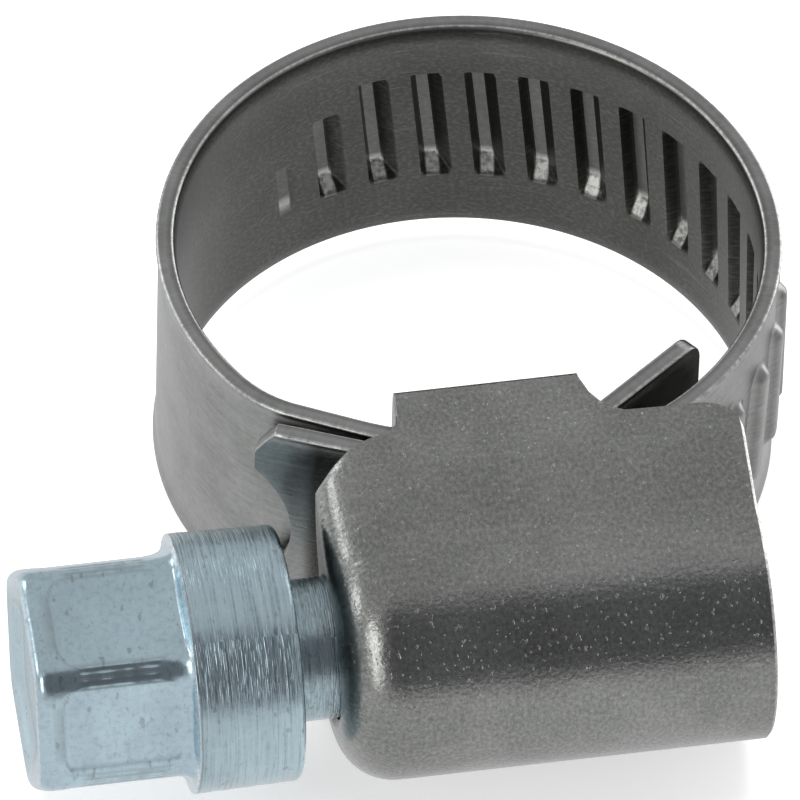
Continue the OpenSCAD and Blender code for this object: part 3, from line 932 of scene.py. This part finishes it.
def screw_piece():
    # Directions round the screw, close together along the hexagon's edges.
    sector = np.concatenate([np.arange(-9, 9, 0.5), np.arange(9, 51, 1.5)])
    turns = np.concatenate([HEX_TURN + 60 * k + sector for k in range(6)])
    edge = np.abs((turns - HEX_TURN + 30) % 60 - 30) / 30
    hex_r = hex_radius(turns)
    hex_x1 = hex_x0 + HEX_LEN
    rng = np.random.default_rng(4)
    wobble = sum(
        rng.uniform(0.2, 1) / n * np.sin(np.radians(n * turns) + rng.uniform(0, 6))
        for n in range(3, 30)
    )
    wobble = wobble / np.abs(wobble).max()
    rows = []

    def row(x, r, painted_light_and_dirt=0.0):
        rows.append([np.broadcast_to(value, turns.shape) for value in (x, r, painted_light_and_dirt)])

    # The slightly dished end face.
    for t in np.linspace(0.02, 0.85, 8):
        row(hex_x0 + END_DISH * (1 - smooth(0.6, 0.85, t)), hex_r * t, 0.1)
    # The end face's rim is painted a little bright as a highlight.
    row(hex_x0, hex_r - 0.4, -0.2)
    # The rounded end, painted bright as a highlight where it leaves the end face.
    for turn in np.linspace(0, 90, 9):
        x = hex_x0 + END_R * (1 - cos(radians(turn)))
        row(x, hex_r - 0.32 * (1 - sin(radians(turn))), -0.5 * (turn < 20))
    # Flat pads, sunk a little below the rounded edges.
    pad_x0, pad_x1 = hex_x0 + END_R + PAD_MARGIN, hex_x1 - PAD_MARGIN
    flare_len = 0.25 + 0.75 * (1 - smooth(0.0, 0.45, edge))
    from_edge = np.clip((edge - 0.16) / 0.4, 0, 1)
    corner = 0.6 * (1 - np.sqrt(1 - (1 - from_edge) ** 2))
    # How strong each of the two bright edge lines is along the hexagon.
    edge_lines_at = np.linspace(pad_x0, hex_x1, 22)
    edge_lines_by = rng.uniform(0.05, 1.0, (2, len(edge_lines_at)))
    for x in np.linspace(pad_x0, hex_x1, 70)[1:]:
        near_end = smooth(pad_x0 + corner, pad_x0 + corner + 0.16, x)
        near_end = near_end * (1 - smooth(pad_x1 - corner - 0.2, pad_x1 - corner, x))
        inside = smooth(0.2, 0.4, edge) * near_end
        # Fine raised lines run along each edge, where the faces were cold formed, and are painted
        # bright as highlights.
        bright_edge = sum(
            np.interp(x, edge_lines_at, by) * np.exp(-(((edge - line) / 0.03) ** 2))
            for line, by in zip((0.03, 0.14), edge_lines_by)
        )
        bright_edge = bright_edge * near_end
        r = hex_r - PAD_DEPTH * inside + EDGE_LINE_H * bright_edge
        t = np.clip((x - (hex_x1 - flare_len)) / flare_len, 0, 1)
        rise = 1 - np.sqrt(1 - 0.98 * t * t)
        jag = 0.09 * wobble * smooth(0.5, 1.0, t)
        r = r + (COLLAR_R - 0.05 - r) * rise + jag
        border = np.exp(-(((near_end - 0.5) / 0.3) ** 2)) * (x < pad_x0 + 1)
        # A painted dark reflection along the hexagon's rounded edges, broken by the lines' painted
        # highlights.
        painted_edge_light = 0.35 * near_end * (1 - smooth(0.16, 0.24, edge)) - 0.6 * bright_edge
        row(x, r, 0.5 * border * smooth(0.1, 0.3, edge) + painted_edge_light - 0.8 * smooth(0.85, 1, t))
    # The collar, with a burr round its edge and a slight taper.
    row(hex_x1 + 0.02, COLLAR_R + 0.04 * wobble, -0.6)
    row(hex_x1 + 0.08, COLLAR_R + 0.05 * np.maximum(wobble, 0), 0.5)
    for x in np.linspace(hex_x1 + 0.16, COLLAR_X - COLLAR_ROUND, 26):
        taper = COLLAR_TAPER * (x - hex_x1) / (COLLAR_X - hex_x1)
        r = COLLAR_R - taper + 0.006 * sin(9 * x)
        row(x, r, 0.12)
    for turn in np.linspace(20, 90, 5):
        row(
            COLLAR_X - COLLAR_ROUND + COLLAR_ROUND * sin(radians(turn)),
            COLLAR_R - COLLAR_TAPER - COLLAR_ROUND * (1 - cos(radians(turn))),
        )
    for r in np.linspace(COLLAR_R - 0.35, NECK_R + 0.15, 8):
        row(COLLAR_X, r, 0.15)
    # Painted shade in the corner between the collar and the neck, and along the neck.
    row(COLLAR_X + 0.04, NECK_R + 0.05, 0.5)
    for x in np.linspace(COLLAR_X + 0.12, WORM_X[0] - 0.05, 12):
        row(x, NECK_R, 0.25)
    # The worm: a right-hand thread on its core.
    ridge_r = GUIDE_MID + BAND_T / 2 + RIDGE_H / 2
    pitch = THREAD_PITCH / GUIDE_MID * ridge_r
    meets = (RIDGE_START + THREAD_PITCH / 2) * ridge_r / GUIDE_MID
    for x in np.linspace(WORM_X[0], WORM_X[1], 110):
        off = (x - meets - turns / 360 * pitch + pitch / 2) % pitch - pitch / 2
        crest = 1 - smooth(*THREAD_HALF, np.abs(off))
        ends = smooth(WORM_X[0] + 0.1, WORM_X[0] + 0.8, x) * (
            1 - smooth(WORM_X[1] - 1.0, WORM_X[1] - 0.4, x)
        )
        # Painted shade in the thread's roots.
        row(x, CORE_R + (WORM_R - CORE_R) * crest * ends, 0.2 * (1 - crest))
    for turn in np.linspace(15, 90, 5):
        row(
            WORM_X[1] - CORE_ROUND + CORE_ROUND * sin(radians(turn)),
            CORE_R - CORE_ROUND * (1 - cos(radians(turn))),
        )
    for t in np.linspace(0.85, 0.02, 6):
        row(WORM_X[1], CORE_R * t)
    angle = np.radians(turns)
    points = [
        np.stack([x, screw_y + r * np.cos(angle), r * np.sin(angle)], axis=1)
        for x, r, _ in rows
    ]
    painted_light_and_dirt = np.concatenate([d for _, _, d in rows])
    worked = np.concatenate([np.where(x > hex_x1, 1.0, 0.12) for x, _, _ in rows])
    # The UV map's first direction follows the profile's length.
    travel = [0.0]
    for a, b in zip(points, points[1:]):
        travel.append(travel[-1] + float(np.linalg.norm(b - a, axis=1).mean()))
    around = np.append(turns, turns[0] + 360) * pi / 180 * COLLAR_R
    cols = len(turns)
    faces, uvs = quads(uv_grid(travel, around), closed=True)
    flat = np.concatenate(points)
    for i, x, flip in ((0, hex_x0 + END_DISH, False), (len(points) - 1, WORM_X[1], True)):
        centre = len(flat)
        flat = np.concatenate([flat, [[x, screw_y, 0]]])
        painted_light_and_dirt = np.append(painted_light_and_dirt, 0.2)
        worked = np.append(worked, 0.12)
        for j in range(cols):
            a, b = i * cols + j, i * cols + (j + 1) % cols
            faces.append((b, a, centre) if flip else (a, b, centre))
            uvs += [(travel[i], around[j])] * 3
    return make_piece("worm_screw", flat, faces, uvs, screw_zinc, painted_light_and_dirt, worked, sharp=50)


screw = screw_piece()
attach(screw, "screw")
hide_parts("screw")


# ---------------------------------------------------------------- stage, light and camera


def make_floor():
    size = 3000
    points = [(-size, -size, 0), (size, -size, 0), (size, size, 0), (-size, size, 0)]
    material = bpy.data.materials.new("floor")
    material.use_nodes = True
    shader = material.node_tree.nodes["Principled BSDF"]
    shader.inputs["Base Color"].default_value = (0.9, 0.9, 0.9, 1)
    shader.inputs["Roughness"].default_value = 0.9
    shader.inputs["Specular IOR Level"].default_value = 0.1
    shader.inputs["Emission Color"].default_value = (1, 1, 1, 1)
    shader.inputs["Emission Strength"].default_value = 0.5
    made = make_piece("floor", points, [(0, 1, 2, 3)], [(0, 0), (1, 0), (1, 1), (0, 1)], material)
    made.location.z = floor_z
    # The metal mirrors the room's own pale underside, not its own shadow on the floor.
    made.visible_glossy = False


def make_world():
    """A pale room with a dark side behind the camera and bright windows left and right."""
    world = bpy.data.worlds.new("room")
    bpy.context.scene.world = world
    world.use_nodes = True
    tree = world.node_tree
    direction = add(tree, "ShaderNodeTexCoord").outputs["Generated"]
    room = (0.55, 0.555, 0.56)

    def patch(room, towards, inner, outer, light):
        """Lays a soft round patch of light over what is there."""
        axis = Vector(towards).normalized()
        dot = add(
            tree, "ShaderNodeVectorMath", {0: direction, 1: axis}, operation="DOT_PRODUCT"
        ).outputs["Value"]
        share = ramp(tree, dot, cos(radians(outer)), cos(radians(inner)))
        return mix(tree, share, room, light)

    room = patch(room, (0, 0, -1), 80, 92, (0.78, 0.785, 0.79))
    room = patch(room, (0.05, -0.78, 0.62), 30, 42, (0.17, 0.17, 0.18))
    room = patch(room, (-0.72, 0.67, -0.15), 14, 28, (1.0, 1.0, 1.0))
    room = patch(room, (-0.62, 0.67, 0.42), 5, 13, (3.0, 3.05, 3.1))
    room = patch(room, (-0.92, 0.25, 0.38), 4, 12, (3.0, 3.05, 3.1))
    room = patch(room, (-0.74, -0.43, 0.5), 8, 16, (3.0, 3.0, 2.95))
    room = patch(room, (-0.72, -0.65, 0.22), 7, 14, (2.6, 2.6, 2.55))
    room = patch(room, (0.80, 0.55, 0.05), 14, 24, (2.8, 2.8, 2.8))
    tree.links.new(room, tree.nodes["Background"].inputs["Color"])


def make_light():
    """A soft light from above brings the floor up to white and doesn't show in the metal."""
    data = bpy.data.lights.new("wash", "AREA")
    data.shape = "DISK"
    data.size = 0.6
    data.energy = 4.2
    made = bpy.data.objects.new("wash", data)
    made.location = Vector((0, 0.1, 0.7))
    made.rotation_mode = "QUATERNION"
    made.rotation_quaternion = made.location.to_track_quat("Z", "Y")
    made.visible_glossy = False
    bpy.context.collection.objects.link(made)


CAMERA_AZIMUTH = 11
CAMERA_ELEVATION = 47
CAMERA_ROLL = 1.8
CAMERA_DISTANCE = 500
VIEW_WIDTH = 25.478
# The picture's middle lies this far right of and above the ring's centre at the upper rim.
VIEW_MIDDLE = (-2.197, -5.159)


def make_camera():
    a, e, roll = (radians(v) for v in (CAMERA_AZIMUTH, CAMERA_ELEVATION, CAMERA_ROLL))
    right = Vector((cos(a), -sin(a), 0))
    up = Vector((sin(a) * sin(e), cos(a) * sin(e), cos(e)))
    back = Vector((-sin(a) * cos(e), -cos(a) * cos(e), sin(e)))
    right, up = right * cos(roll) + up * sin(roll), up * cos(roll) - right * sin(roll)
    target = Vector((0, 0, half_w)) + right * VIEW_MIDDLE[0] + up * VIEW_MIDDLE[1]
    data = bpy.data.cameras.new("camera")
    data.sensor_width = 36
    data.lens = data.sensor_width * CAMERA_DISTANCE / VIEW_WIDTH
    data.clip_start, data.clip_end = 0.01, 20
    made = bpy.data.objects.new("camera", data)
    rotation = Matrix((right, up, back)).transposed()
    place = Matrix.Translation((target + back * CAMERA_DISTANCE) * MM)
    made.matrix_world = place @ rotation.to_4x4()
    bpy.context.collection.objects.link(made)
    bpy.context.scene.camera = made


make_floor()
make_world()
make_light()
make_camera()
bpy.context.scene.view_settings.view_transform = "Standard"

bpy.context.view_layer.update()
